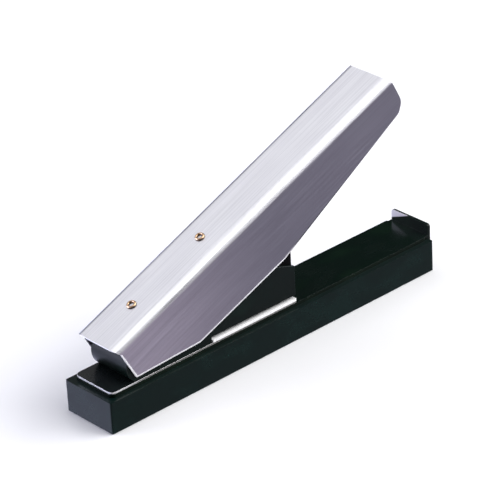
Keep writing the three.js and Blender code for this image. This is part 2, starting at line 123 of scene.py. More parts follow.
# ---------------------------------------------------------------------------------------------
# Finishes
# ---------------------------------------------------------------------------------------------
class Grain(Enum):
    """The direction that a surface's fine scratches run in, as cell sizes in mm along X, Y, Z."""

    LENGTHWISE = (26.0, 0.33, 0.33)
    UPRIGHT = (0.4, 0.4, 14.0)
    ALL_ROUND = (0.5, 0.5, 0.5)


@dataclass(frozen=True)
class Finish:
    """What every finish states: its name, its sRGB colour and its roughness."""

    name: str
    colour: str
    roughness: float

    def material(self) -> bpy.types.Material:
        """Gives this finish's material, and makes it the first time.

        Returns:
            The material, with its nodes in place.
        """
        made = bpy.data.materials.get(self.name)
        if made:
            return made
        made = bpy.data.materials.new(self.name)
        made.use_nodes = True
        tree = made.node_tree
        tree.nodes.clear()
        coords = add_node(tree, "ShaderNodeTexCoord").outputs["Object"]
        surface = self.surface(tree, coords)
        add_node(tree, "ShaderNodeOutputMaterial", inputs={"Surface": surface.outputs["BSDF"]})
        made.diffuse_color = linear(self.colour)
        return made

    def surface(self, tree: bpy.types.NodeTree, coords: bpy.types.NodeSocket) -> bpy.types.Node:
        """Builds the shader; each finish has its own.

        Args:
            tree: The material's tree.
            coords: The object's coordinates, in metres.

        Returns:
            The shader node.
        """
        raise NotImplementedError

    def cells(
        self,
        tree: bpy.types.NodeTree,
        coords: bpy.types.NodeSocket,
        size_mm: tuple[float, float, float],
        detail: float = 3.0,
    ) -> bpy.types.NodeSocket:
        """Noise whose cells have a real size.

        Args:
            tree: The material's tree.
            coords: The object's coordinates, in metres.
            size_mm: A cell's size along X, Y and Z.
            detail: How many finer octaves it has.

        Returns:
            The noise, about 0.5 on average.
        """
        stretch = add_node(
            tree,
            "ShaderNodeMapping",
            inputs={"Vector": coords, "Scale": tuple(per_metre(s) for s in size_mm)},
        )
        noise = add_node(
            tree,
            "ShaderNodeTexNoise",
            inputs={"Vector": stretch.outputs[0], "Scale": 1.0, "Detail": detail, "Roughness": 0.55},
        )
        return noise.outputs["Fac"]

    def between(
        self,
        tree: bpy.types.NodeTree,
        mask: bpy.types.NodeSocket,
        reach: tuple[float, float],
        values: tuple[float, float],
    ) -> bpy.types.NodeSocket:
        """Turns a mask's stretch of values into a smooth passage between two numbers.

        Args:
            tree: The material's tree.
            mask: The value that is read.
            reach: Where the passage starts and ends.
            values: The numbers at its start and end.

        Returns:
            The passage's value.
        """
        passage = add_node(
            tree,
            "ShaderNodeMapRange",
            {"interpolation_type": "SMOOTHSTEP"},
            {
                "Value": mask,
                "From Min": reach[0],
                "From Max": reach[1],
                "To Min": values[0],
                "To Max": values[1],
            },
        )
        return passage.outputs["Result"]

    def mixed(
        self,
        tree: bpy.types.NodeTree,
        mask: bpy.types.NodeSocket,
        first: object,
        second: object,
    ) -> bpy.types.NodeSocket:
        """Mixes two colours by a mask.

        Args:
            tree: The material's tree.
            mask: The second colour's share.
            first: A colour, or the socket that gives it.
            second: A colour, or the socket that gives it.

        Returns:
            The mixed colour.
        """
        mix = add_node(tree, "ShaderNodeMix", {"data_type": "RGBA"}, {0: mask, 6: first, 7: second})
        return mix.outputs[2]

    def bump(
        self, tree: bpy.types.NodeTree, height: bpy.types.NodeSocket, depth_mm: float, strength: float = 1.0
    ) -> bpy.types.NodeSocket:
        """Turns a height pattern of a real depth into a surface normal.

        Args:
            tree: The material's tree.
            height: The pattern, from 0 to 1.
            depth_mm: How deep it is.
            strength: How much of it shows.

        Returns:
            The normal.
        """
        node = add_node(
            tree,
            "ShaderNodeBump",
            inputs={"Height": height, "Distance": depth_mm * MM, "Strength": strength},
        )
        return node.outputs["Normal"]


@dataclass(frozen=True)
class StoveEnamel(Finish):
    """Black stove enamel, sprayed and baked: a semi-gloss skin with a faint orange peel, a little
    dust settled in it, and rubbed patches where hands and cards have polished it."""

    rubbed: str = "#20282a"
    dust: str = "#5a5c60"
    patch_mm: tuple[float, float, float] = (26.0, 14.0, 14.0)  # the size of a rubbed patch
    dust_mm: float = 0.35
    peel_mm: float = 1.1  # drawn a little coarser than the real 0.5 mm so that it shows
    peel_depth_mm: float = 0.008
    skin: float = 0.25  # the baked skin is a little chalky, so it mirrors less than glass would

    def surface(self, tree: bpy.types.NodeTree, coords: bpy.types.NodeSocket) -> bpy.types.Node:
        """Builds the enamel.

        Args:
            tree: The material's tree.
            coords: The object's coordinates, in metres.

        Returns:
            The shader node.
        """
        handled = self.cells(tree, coords, self.patch_mm, 5.0)
        dust = self.cells(tree, coords, (self.dust_mm,) * 3, 2.0)
        worn = self.between(tree, handled, (0.46, 0.66), (0.0, 1.0))
        specks = self.between(tree, dust, (0.74, 0.8), (0.0, 0.35))
        colour = self.mixed(tree, worn, linear(self.colour), linear(self.rubbed))
        dusty = self.mixed(tree, specks, colour, linear(self.dust))
        gloss = self.between(tree, handled, (0.3, 0.7), (self.roughness + 0.07, self.roughness - 0.05))
        peel = self.cells(tree, coords, (self.peel_mm,) * 3, 1.0)
        return add_node(
            tree,
            "ShaderNodeBsdfPrincipled",
            inputs={
                "Base Color": dusty,
                "Roughness": gloss,
                "IOR": 1.5,
                "Specular IOR Level": self.skin,
                "Normal": self.bump(tree, peel, self.peel_depth_mm),
            },
        )


@dataclass(frozen=True)
class TopEnamel(StoveEnamel):
    """Enamel sprayed on the upper face of a ground plate. Its bare steel edge shows as a line round it;
    a highlight is painted bright on it at the near end, and it is darker along the sides."""

    # edge is painted bright as a highlight at the near end; dull_edge is the bare edge without it
    edge: str = "#f8f8fa"
    dull_edge: str = "#8f8d8a"  # along the sides, where the painted highlight has faded out
    highlight_fade_mm: tuple[float, float] = (-87.0, -70.0)

    def surface(self, tree: bpy.types.NodeTree, coords: bpy.types.NodeSocket) -> bpy.types.Node:
        """Builds the enamel, and turns it to bare steel where the surface doesn't face up.

        Args:
            tree: The material's tree.
            coords: The object's coordinates, in metres.

        Returns:
            The shader node.
        """
        skin = super().surface(tree, coords)
        # painted highlight: the bare edge turns bright towards the near end
        along = add_node(tree, "ShaderNodeSeparateXYZ", inputs={"Vector": coords}).outputs["X"]
        dull = self.between(tree, along, in_metres(self.highlight_fade_mm), (0.0, 1.0))
        steel = self.mixed(tree, dull, linear(self.edge), linear(self.dull_edge))
        facing = add_node(
            tree,
            "ShaderNodeSeparateXYZ",
            inputs={"Vector": add_node(tree, "ShaderNodeTexCoord").outputs["Normal"]},
        )
        bare = self.between(tree, facing.outputs["Z"], (0.8, 0.6), (0.0, 1.0))
        painted = skin.inputs["Base Color"].links[0].from_socket
        colour = self.mixed(tree, bare, painted, steel)
        tree.links.new(colour, skin.inputs["Base Color"])
        metal = self.between(tree, bare, (0.0, 1.0), (0.0, 0.5))
        tree.links.new(metal, skin.inputs["Metallic"])
        return skin


@dataclass(frozen=True)
class BedEnamel(StoveEnamel):
    """The bed's enamel, with a pale reflection painted on one corner of the card stop."""

    # the colour of the reflection painted on the stop's corner
    painted_stop_reflection: str = "#eae6ee"
    reflection_from_mm: tuple[float, float] = (54.2, 55.2)  # where the painted reflection begins, as across + slant * up
    slant: float = 2.5
    stop_at_mm: float = 92.25  # where the stop's inner face is, along X
    close_mm: float = 0.2  # how near to that face the painted reflection reaches

    def surface(self, tree: bpy.types.NodeTree, coords: bpy.types.NodeSocket) -> bpy.types.Node:
        """Builds the enamel, and paints a pale reflection on the stop's corner.

        Args:
            tree: The material's tree.
            coords: The object's coordinates, in metres.

        Returns:
            The shader node.
        """
        skin = super().surface(tree, coords)
        axes = add_node(tree, "ShaderNodeSeparateXYZ", inputs={"Vector": coords})
        slanted = add_node(
            tree,
            "ShaderNodeMath",
            {"operation": "MULTIPLY_ADD"},
            {0: axes.outputs["Z"], 1: self.slant, 2: axes.outputs["Y"]},
        )
        corner = self.between(
            tree, slanted.outputs[0], in_metres(self.reflection_from_mm), (0.0, 1.0)
        )
        on_stop = add_node(
            tree,
            "ShaderNodeMath",
            {"operation": "COMPARE"},
            {0: axes.outputs["X"], 1: self.stop_at_mm * MM, 2: self.close_mm * MM},
        )
        bare = add_node(
            tree, "ShaderNodeMath", {"operation": "MULTIPLY"}, {0: corner, 1: on_stop.outputs[0]}
        )
        # painted reflection: a pale patch on the stop's corner
        painted = skin.inputs["Base Color"].links[0].from_socket
        colour = self.mixed(tree, bare.outputs[0], painted, linear(self.painted_stop_reflection))
        tree.links.new(colour, skin.inputs["Base Color"])
        return skin


@dataclass(frozen=True)
class BlackedSteel(Finish):
    """Mild steel blacked in hot oxide salts: a satin, slightly blue-brown skin, thinner and
    brighter where it has been rubbed."""

    steel: str = "#3a3b40"
    patch_mm: tuple[float, float, float] = (9.0, 5.0, 5.0)  # the size of a rubbed patch
    rolled_depth_mm: float = 0.006
    skin: float = 0.3  # the porous oxide mirrors less than bare metal

    def surface(self, tree: bpy.types.NodeTree, coords: bpy.types.NodeSocket) -> bpy.types.Node:
        """Builds the oxide skin.

        Args:
            tree: The material's tree.
            coords: The object's coordinates, in metres.

        Returns:
            The shader node.
        """
        rubbed = self.cells(tree, coords, self.patch_mm, 6.0)
        rolled = self.cells(tree, coords, Grain.LENGTHWISE.value)
        thin = self.between(tree, rubbed, (0.52, 0.72), (0.0, 0.6))
        gloss = self.between(tree, rolled, (0.3, 0.7), (self.roughness - 0.08, self.roughness + 0.1))
        return add_node(
            tree,
            "ShaderNodeBsdfPrincipled",
            inputs={
                "Base Color": self.mixed(tree, thin, linear(self.colour), linear(self.steel)),
                "Roughness": gloss,
                "IOR": 1.5,
                "Specular IOR Level": self.skin,
                "Normal": self.bump(tree, rolled, self.rolled_depth_mm),
            },
        )


@dataclass(frozen=True)
class BrushedSteel(Finish):
    """Sheet steel brushed with a 180-grit belt along its length: fine streaks that spread each
    reflection across the handle. Its walls are painted darker than the top as shade, and
    painted greyer towards the finger end as shade."""

    # the walls are painted darker than the top, and greyer towards the finger end, as shade
    wall: str = "#dcd6e2"
    far_wall_shade: str = "#a2a1ac"
    far_shade_reach_mm: tuple[float, float] = (0.0, 95.0)  # along the handle from its hinge end, over which the painted shade deepens
    hairline: str = "#6f6d78"
    cloud: str = "#b9b6c2"
    hairline_mm: tuple[float, float, float] = (60.0, 0.7, 0.7)
    cloud_mm: tuple[float, float, float] = (30.0, 9.0, 9.0)
    streak_depth_mm: float = 0.012

    def surface(self, tree: bpy.types.NodeTree, coords: bpy.types.NodeSocket) -> bpy.types.Node:
        """Builds the brushed sheet; the object's X runs along the handle and its Z is up.

        Args:
            tree: The material's tree.
            coords: The object's coordinates, in metres.

        Returns:
            The shader node.
        """
        streaks = self.cells(tree, coords, Grain.LENGTHWISE.value, 4.0)
        hairlines = self.cells(tree, coords, self.hairline_mm, 2.0)
        clouds = self.cells(tree, coords, self.cloud_mm, 4.0)
        along = add_node(tree, "ShaderNodeSeparateXYZ", inputs={"Vector": coords}).outputs["X"]
        reach = in_metres(self.far_shade_reach_mm)
        # painted shade: the walls darken towards the finger end, and the top stays lighter
        wall = self.mixed(
            tree,
            self.between(tree, along, reach, (0.0, 1.0)),
            linear(self.wall),
            linear(self.far_wall_shade),
        )
        facing = add_node(
            tree, "ShaderNodeSeparateXYZ", inputs={"Vector": self.object_normal(tree)}
        ).outputs["Z"]
        top = self.between(tree, facing, (0.05, 0.3), (0.0, 1.0))
        base = self.mixed(tree, top, wall, linear(self.colour))
        shade = self.between(tree, hairlines, (0.35, 0.75), (0.0, 0.16))
        lined = self.mixed(tree, shade, base, linear(self.hairline))
        soft = self.between(tree, clouds, (0.35, 0.7), (0.0, 0.1))
        gloss = self.between(tree, streaks, (0.25, 0.75), (self.roughness - 0.09, self.roughness + 0.12))
        return add_node(
            tree,
            "ShaderNodeBsdfPrincipled",
            inputs={
                "Base Color": self.mixed(tree, soft, lined, linear(self.cloud)),
                "Metallic": 1.0,
                "Roughness": gloss,
                "Normal": self.bump(tree, streaks, self.streak_depth_mm),
            },
        )

    def object_normal(self, tree: bpy.types.NodeTree) -> bpy.types.NodeSocket:
        """Gives the surface's own direction in the object's axes."""
        return add_node(tree, "ShaderNodeTexCoord").outputs["Normal"]


@dataclass(frozen=True)
class GroundSteel(Finish):
    """Steel ground on a surface grinder or drawn as wire: bright, with fine parallel scratches and
    a thin film of oil that dulls it in patches."""

    grain: Grain = Grain.LENGTHWISE
    oiled: str = "#8d8f96"
    film_mm: float = 7.0  # the size of a patch of oil
    scratch_mm: float = 0.006
    bare: float = 1.0  # below 1, torn grain along a sheared edge scatters part of the light

    def surface(self, tree: bpy.types.NodeTree, coords: bpy.types.NodeSocket) -> bpy.types.Node:
        """Builds the ground metal.

        Args:
            tree: The material's tree.
            coords: The object's coordinates, in metres.

        Returns:
            The shader node.
        """
        scratches = self.cells(tree, coords, self.grain.value, 4.0)
        film = self.cells(tree, coords, (self.film_mm,) * 3, 5.0)
        oily = self.between(tree, film, (0.5, 0.75), (0.0, 0.5))
        gloss = self.between(
            tree, scratches, (0.25, 0.75), (self.roughness - 0.08, self.roughness + 0.1)
        )
        return add_node(
            tree,
            "ShaderNodeBsdfPrincipled",
            inputs={
                "Base Color": self.mixed(tree, oily, linear(self.colour), linear(self.oiled)),
                "Metallic": self.bare,
                "Roughness": gloss,
                "Normal": self.bump(tree, scratches, self.scratch_mm),
            },
        )


@dataclass(frozen=True)
class DieSteel(GroundSteel):
    """Die steel ground satin, darker towards its foot."""

    foot: str = "#0c0e0e"
    foot_mm: tuple[float, float] = (17.2, 17.0)  # heights over which it darkens

    def surface(self, tree: bpy.types.NodeTree, coords: bpy.types.NodeSocket) -> bpy.types.Node:
        """Builds the satin steel, and darkens its foot.

        Args:
            tree: The material's tree.
            coords: The object's coordinates, in metres.

        Returns:
            The shader node.
        """
        skin = super().surface(tree, coords)
        height = add_node(tree, "ShaderNodeSeparateXYZ", inputs={"Vector": coords}).outputs["Z"]
        low = self.between(tree, height, in_metres(self.foot_mm), (0.0, 1.0))
        bright = skin.inputs["Base Color"].links[0].from_socket
        tree.links.new(self.mixed(tree, low, bright, linear(self.foot)), skin.inputs["Base Color"])
        return skin


@dataclass(frozen=True)
class ShearedRim(GroundSteel):
    """The cover's cut edge: bright polished steel, with shade painted dark on it along the left wall
    and along the far half of the right wall's lower edge."""

    # scale is the colour of the shade painted on the rim
    scale: str = "#1b1b1f"
    shaded_left_mm: tuple[float, float] = (9.0, 10.5)  # across the handle
    shaded_far_mm: tuple[float, float] = (88.0, 100.0)  # along the handle
    shaded_below_mm: tuple[float, float] = (-4.0, -6.0)  # below the top face

    def surface(self, tree: bpy.types.NodeTree, coords: bpy.types.NodeSocket) -> bpy.types.Node:
        """Builds the bright edge, and paints shade on it along the left wall and the far half.

        Args:
            tree: The material's tree.
            coords: The object's coordinates, in metres.

        Returns:
            The shader node.
        """
        skin = super().surface(tree, coords)
        axes = add_node(tree, "ShaderNodeSeparateXYZ", inputs={"Vector": coords})
        left, far, under = (
            self.between(tree, axes.outputs[axis], in_metres(reach), (0.0, 1.0))
            for axis, reach in (("Y", self.shaded_left_mm), ("X", self.shaded_far_mm), ("Z", self.shaded_below_mm))
        )
        # painted shade: the left wall's rim and the far half of the lower edge
        low = add_node(tree, "ShaderNodeMath", {"operation": "MULTIPLY"}, {0: far, 1: under})
        dark = add_node(tree, "ShaderNodeMath", {"operation": "MAXIMUM"}, {0: left, 1: low.outputs[0]})
        bright = skin.inputs["Base Color"].links[0].from_socket
        colour = self.mixed(tree, dark.outputs[0], bright, linear(self.scale))
        tree.links.new(colour, skin.inputs["Base Color"])
        return skin


@dataclass(frozen=True)
class TurnedBrass(Finish):
    """Brass rivets headed cold and left bare: warm and bright, with browned skin in the hollows
    and fine marks from the heading tool."""

    tarnish: str = "#8c6a3f"
    hollow: str = "#2a1a10"
    tarnish_mm: float = 1.6
    mark_mm: float = 0.3
    mark_depth_mm: float = 0.01
    hollow_mm: tuple[float, float] = (0.62, 0.15)  # heights over which the dimple darkens

    def surface(self, tree: bpy.types.NodeTree, coords: bpy.types.NodeSocket) -> bpy.types.Node:
        """Builds the brass.

        Args:
            tree: The material's tree.
            coords: The object's coordinates, in metres.

        Returns:
            The shader node.
        """
        skin = self.cells(tree, coords, (self.tarnish_mm,) * 3, 5.0)
        marks = self.cells(tree, coords, (self.mark_mm,) * 3, 3.0)
        brown = self.between(tree, skin, (0.45, 0.72), (0.0, 0.7))
        warm = self.mixed(tree, brown, linear(self.colour), linear(self.tarnish))
        height = add_node(tree, "ShaderNodeSeparateXYZ", inputs={"Vector": coords}).outputs["Z"]
        deep = self.between(tree, height, in_metres(self.hollow_mm), (0.0, 1.0))
        gloss = self.between(tree, marks, (0.3, 0.7), (self.roughness - 0.05, self.roughness + 0.12))
        return add_node(
            tree,
            "ShaderNodeBsdfPrincipled",
            inputs={
                "Base Color": self.mixed(tree, deep, warm, linear(self.hollow)),
                "Metallic": 1.0,
                "Roughness": gloss,
                "Normal": self.bump(tree, marks, self.mark_depth_mm),
            },
        )


@dataclass(frozen=True)
class Moulded(Finish):
    """Rubber or ABS from a spark-eroded mould: matt, finely pitted, greyed a little by dust."""

    dust: str = "#3c3d3f"
    dusty_mm: float = 8.0  # the size of a dusty patch
    pit_mm: float = 0.45
    pit_depth_mm: float = 0.03

    def surface(self, tree: bpy.types.NodeTree, coords: bpy.types.NodeSocket) -> bpy.types.Node:
        """Builds the moulded skin.

        Args:
            tree: The material's tree.
            coords: The object's coordinates, in metres.

        Returns:
            The shader node.
        """
        pits = self.cells(tree, coords, (self.pit_mm,) * 3, 2.0)
        settled = self.cells(tree, coords, (self.dusty_mm,) * 3, 6.0)
        grey = self.between(tree, settled, (0.5, 0.8), (0.0, 0.35))
        gloss = self.between(tree, settled, (0.3, 0.7), (self.roughness, self.roughness + 0.1))
        return add_node(
            tree,
            "ShaderNodeBsdfPrincipled",
            inputs={
                "Base Color": self.mixed(tree, grey, linear(self.colour), linear(self.dust)),
                "Roughness": gloss,
                "IOR": 1.52,
                "Normal": self.bump(tree, pits, self.pit_depth_mm),
            },
        )


@dataclass(frozen=True)
class PaperSweep(Finish):
    """Matt white background paper: no gloss, and a tooth too fine to see as more than softness."""

    shaded: str = "#f4f4f5"
    tooth_mm: float = 3.0  # coarser than the real fibres, so that it shows

    def surface(self, tree: bpy.types.NodeTree, coords: bpy.types.NodeSocket) -> bpy.types.Node:
        """Builds the paper.

        Args:
            tree: The material's tree.
            coords: The object's coordinates, in metres.

        Returns:
            The shader node.
        """
        tooth = self.cells(tree, coords, (self.tooth_mm,) * 3, 3.0)
        shade = self.between(tree, tooth, (0.2, 0.8), (0.0, 0.1))
        return add_node(
            tree,
            "ShaderNodeBsdfPrincipled",
            inputs={
                "Base Color": self.mixed(tree, shade, linear(self.colour), linear(self.shaded)),
                "Roughness": self.roughness,
                "Specular IOR Level": 0.1,
            },
        )


BASE_ENAMEL = StoveEnamel("black_stove_enamel", "#031512", 0.3, rubbed="#091d1a", skin=0.18)
BED_ENAMEL = BedEnamel("bed_stove_enamel", "#021009", 0.22, rubbed="#0a1a10")
FRAME_ENAMEL = StoveEnamel(
    "frame_stove_enamel", "#020f0b", 0.34, rubbed="#061813", peel_mm=1.4, skin=0.2
)
# lighter colour on enamelled rounded edges: a painted highlight
ENAMEL_EDGE = StoveEnamel("enamel_edge_highlight", "#1c2525", 0.26, rubbed="#343b3b", skin=0.5)
# lighter colour on the shell's rounded edges: a painted highlight
SHELL_EDGE = StoveEnamel("shell_edge_highlight", "#42443e", 0.3, rubbed="#5c5d56", skin=0.4)
SOLE_ENAMEL = TopEnamel("enamelled_ground_plate", "#0a1211", 0.26, rubbed="#1c2020", skin=0.5)
BLACKED = BlackedSteel("blacked_steel", "#060708", 0.42, steel="#17181a")
STOP_BLACK = BlackedSteel("deep_blacked_steel", "#020203", 0.5, steel="#08080a", skin=0.08)
# lighter colour on blacked steel's rounded edges: a painted highlight
BLACKED_EDGE = BlackedSteel("blacked_edge_highlight", "#1a1b1e", 0.36, steel="#3a3b40")
HANDLE_STEEL = BrushedSteel("brushed_handle_steel", "#e6e6ea", 0.38)
CUT_EDGE = GroundSteel("sheared_and_polished_edge", "#fafafc", 0.5, oiled="#eeeef2", bare=0.45)
COVER_RIM = ShearedRim("sheared_cover_rim", "#fafafc", 0.5, oiled="#eeeef2", bare=0.45)
DIE_STEEL = DieSteel("satin_ground_die_steel", "#ffffff", 0.5, oiled="#f4f4f6", bare=0.15)
BRIGHT_STEEL = GroundSteel("ground_bright_steel", "#e8e8ee", 0.42)
TOOL_STEEL = GroundSteel("ground_tool_steel", "#93959b", 0.36, Grain.UPRIGHT, oiled="#5f6066")
SPRING_WIRE = GroundSteel("drawn_spring_wire", "#8a8b91", 0.3, Grain.ALL_ROUND, oiled="#4c4d52")
SCREW_STEEL = GroundSteel("zinc_plated_screw_steel", "#a3a5ab", 0.33, Grain.ALL_ROUND, oiled="#75777c")
BRASS = TurnedBrass("cold_headed_brass", "#e2c0a0", 0.24)
RUBBER = Moulded("moulded_black_rubber", "#121213", 0.82)
BLACK_ABS = Moulded("textured_black_abs", "#141516", 0.45, pit_mm=0.6, pit_depth_mm=0.02)
PAPER = PaperSweep("white_background_paper", "#f8f8f9", 0.9)


# ---------------------------------------------------------------------------------------------
# Dressing and building pieces
# ---------------------------------------------------------------------------------------------
@dataclass(frozen=True)
class Softening:
    """How a machined piece's edges are broken: the rounding's width and the turn it starts at."""

    width_mm: float
    angle_deg: float = 35.0
    segments: int = 2


SHARP = Softening(0.12)
BROKEN = Softening(0.3)
ROUNDED = Softening(0.6, segments=3)


def soften(piece: bpy.types.Object, edges: Softening) -> None:
    """Rounds a piece's edges with modifiers; the rounded strips take the second material.

    Args:
        piece: The mesh object.
        edges: The rounding.
    """
    bevel = piece.modifiers.new("broken_edges", "BEVEL")
    bevel.width = edges.width_mm * MM
    bevel.segments = edges.segments
    bevel.limit_method = "ANGLE"
    bevel.angle_limit = math.radians(edges.angle_deg)
    bevel.material = 1
    bevel.use_clamp_overlap = True
    even = piece.modifiers.new("flat_faces_stay_flat", "WEIGHTED_NORMAL")
    even.keep_sharp = True
    even.weight = 100


def coat(piece: bpy.types.Object, finish: Finish, edge: Finish | None = None) -> None:
    """Puts a finish on a piece's faces, and another one on its edges.

    Args:
        piece: The mesh object.
        finish: What its faces show.
        edge: What its rounded edges show, where that differs.
    """
    piece.data.materials.clear()
    for each in (finish, edge or finish):
        piece.data.materials.append(each.material())


def dress(node: str, finish: Finish, edge: Finish | None = None, edges: Softening = SHARP) -> None:
    """Gives a CAD node its finish and broken edges, and leaves its shape alone.

    Args:
        node: The CAD node's name.
        finish: What its faces show.
        edge: What its rounded edges show, where that differs.
        edges: How its edges are broken.
    """
    piece = frame["nodes"][node]
    coat(piece, finish, edge)
    imported_normals = piece.data.attributes.get("custom_normal")
    if imported_normals:
        piece.data.attributes.remove(imported_normals)
    piece.data.shade_smooth()
    weld = piece.modifiers.new("joined_corners", "WELD")
    weld.merge_threshold = 0.001 * MM
    flat = piece.modifiers.new("whole_flat_faces", "DECIMATE")
    flat.decimate_type = "DISSOLVE"
    flat.angle_limit = math.radians(0.3)
    soften(piece, edges)
    log.info("dressed %s in %s", node, finish.name)


def add_piece(
    name: str, body: str, vertices: list[Vector], faces: list[tuple[int, ...]]
) -> bpy.types.Object:
    """Makes a piece from vertices and faces, and has it ride on a body.

    Args:
        name: The piece's name.
        body: The body it moves with.
        vertices: Its points, in metres.
        faces: Its faces, as vertex numbers.

    Returns:
        The mesh object, shaded smooth.
    """
    data = bpy.data.meshes.new(name)
    data.from_pydata([tuple(v) for v in vertices], [], faces)
    data.shade_smooth()
    piece = bpy.data.objects.new(name, data)
    bpy.context.scene.collection.objects.link(piece)
    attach(piece, body)
    log.info("built %s on %s", name, body)
    return piece


def turned(profile: list[tuple[float, float]], sides: int) -> tuple[list[Vector], list[tuple[int, ...]]]:
    """Turns a profile round the Z axis.

    Args:
        profile: Radius and height of each point in mm, from the axis at the bottom to the axis at
            the top.
        sides: How many sides the round has.

    Returns:
        The vertices, in metres, and the faces.
    """
    inner = profile[1:-1]
    vertices = [Vector((0, 0, profile[0][1] * MM)), Vector((0, 0, profile[-1][1] * MM))]
    for radius, height in inner:
        for i in range(sides):
            turn = 2 * math.pi * i / sides
            vertices.append(Vector((radius * math.cos(turn), radius * math.sin(turn), height)) * MM)

    def ring(level: int, i: int) -> int:
        """Gives the number of a vertex in the ring at a level."""
        return 2 + level * sides + i % sides

    faces = [(0, ring(0, i + 1), ring(0, i)) for i in range(sides)]
    for level in range(len(inner) - 1):
        faces += [
            (ring(level, i), ring(level, i + 1), ring(level + 1, i + 1), ring(level + 1, i))
            for i in range(sides)
        ]
    last = len(inner) - 1
    faces += [(1, ring(last, i), ring(last, i + 1)) for i in range(sides)]
    return vertices, faces


# ---------------------------------------------------------------------------------------------
# Sub-assemblies
# ---------------------------------------------------------------------------------------------
@dataclass
class Base:
    """The long base: its shell, bottom plate, bed, chip tray, feet and the screws that hold them."""

    shell_edges: Softening = Softening(0.5, segments=3)
    bed_edges: Softening = Softening(0.35)
    tray_edges: Softening = Softening(0.4)

    def build(self) -> None:
        """Dresses each piece of the base."""
        dress("base_shell", BASE_ENAMEL, SHELL_EDGE, self.shell_edges)
        dress("bed_plate", BED_ENAMEL, ENAMEL_EDGE, self.bed_edges)
        dress("bottom_plate", BLACKED, BLACKED_EDGE)
        dress("chip_tray", BLACK_ABS, BLACK_ABS, self.tray_edges)
        for number in range(1, 5):
            dress(f"rubber_foot_{number}", RUBBER, RUBBER, SHARP)
            dress(f"bottom_screw_{number}", SCREW_STEEL, SCREW_STEEL, SHARP)
        for number in range(1, 3):
            dress(f"bed_screw_{number}", SCREW_STEEL, SCREW_STEEL, SHARP)


@dataclass
class PunchUnit:
    """The fixed part of the mechanism: sole and die plates, frame, guide, stop and pivot pin."""

    frame_edges: Softening = Softening(0.5, segments=3)
    plate_edges: Softening = Softening(0.16)

    def build(self) -> None:
        """Dresses each fixed piece of the mechanism."""
        dress("sole_plate", SOLE_ENAMEL, CUT_EDGE, self.plate_edges)
        dress("die_plate", DIE_STEEL, DIE_STEEL, self.plate_edges)
        dress("punch_frame", FRAME_ENAMEL, ENAMEL_EDGE, self.frame_edges)
        dress("blade_guide", TOOL_STEEL, TOOL_STEEL)
        dress("stop_block", STOP_BLACK, STOP_BLACK, BROKEN)
        dress("bumper", RUBBER, RUBBER, ROUNDED)
        dress("open_stop_pad", RUBBER, RUBBER, ROUNDED)
        dress("pivot_pin", BRIGHT_STEEL, CUT_EDGE)
        dress("stop_screw", SCREW_STEEL)
        for number in range(1, 4):
            dress(f"frame_screw_{number}", SCREW_STEEL)
        for number in range(1, 3):
            dress(f"die_screw_{number}", SCREW_STEEL)
            dress(f"guide_screw_{number}", SCREW_STEEL)


@dataclass
class Ram:
    """The moving blade with its head and cross pin, and the coil spring that lifts it."""

    wire_mm: float = 1.0
    turns: float = 5.5
    closed_turns: float = 0.75  # at each end the wire lies flat against its seat
    closed_pitch: float = 0.97  # in wires, so that the closed turns touch
    sides: int = 12
    steps_per_turn: int = 36
    stroke_mm: float = 7.25  # how far the handle drives the ram

    def build(self) -> None:
        """Dresses the blade and its head, and winds the spring."""
        dress("punch_blade", BRIGHT_STEEL, CUT_EDGE)
        dress("ram_head", TOOL_STEEL, TOOL_STEEL, BROKEN)
        dress("ram_pin", BRIGHT_STEEL, CUT_EDGE)
        self.spring()

    def spring(self) -> None:
        """Winds the return spring as a tube of wire."""
        low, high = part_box("return_spring")
        middle = (low + high) / 2
        wire = self.wire_mm * MM / 2
        radius = (high.y - low.y) / 2 - wire
        length = high.z - low.z - 2 * wire
        steps = int(self.turns * self.steps_per_turn)
        pitch = self.wire_mm * MM * self.closed_pitch
        flat = pitch * self.closed_turns
        vertices: list[Vector] = []
        for step in range(steps + 1):
            turn = self.turns * step / steps
            seated = pitch * min(turn, self.closed_turns)
            unseated = pitch * max(turn - (self.turns - self.closed_turns), 0)
            height = low.z + wire + seated + unseated + (length - 2 * flat) * self.rise(turn)
            angle = 2 * math.pi * turn
            out = Vector((math.cos(angle), math.sin(angle), 0))
            centre = Vector((middle.x, middle.y, height)) + out * radius
            for side in range(self.sides):
                around = 2 * math.pi * side / self.sides
                vertices.append(centre + (out * math.cos(around) + Vector((0, 0, math.sin(around)))) * wire)
        faces = [
            (
                step * self.sides + side,
                step * self.sides + (side + 1) % self.sides,
                (step + 1) * self.sides + (side + 1) % self.sides,
                (step + 1) * self.sides + side,
            )
            for step in range(steps)
            for side in range(self.sides)
        ]
        faces.append(tuple(range(self.sides)))
        faces.append(tuple(reversed(range(steps * self.sides, (steps + 1) * self.sides))))
        coil = add_piece("return_spring_coil", "base", vertices, faces)
        coat(coil, SPRING_WIRE)
        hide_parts("return_spring")
        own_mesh(coil)

    def rise(self, turn: float) -> float:
        """Gives the share of the open coil's height that is reached at a turn."""
        return min(max((turn - self.closed_turns) / (self.turns - 2 * self.closed_turns), 0), 1)


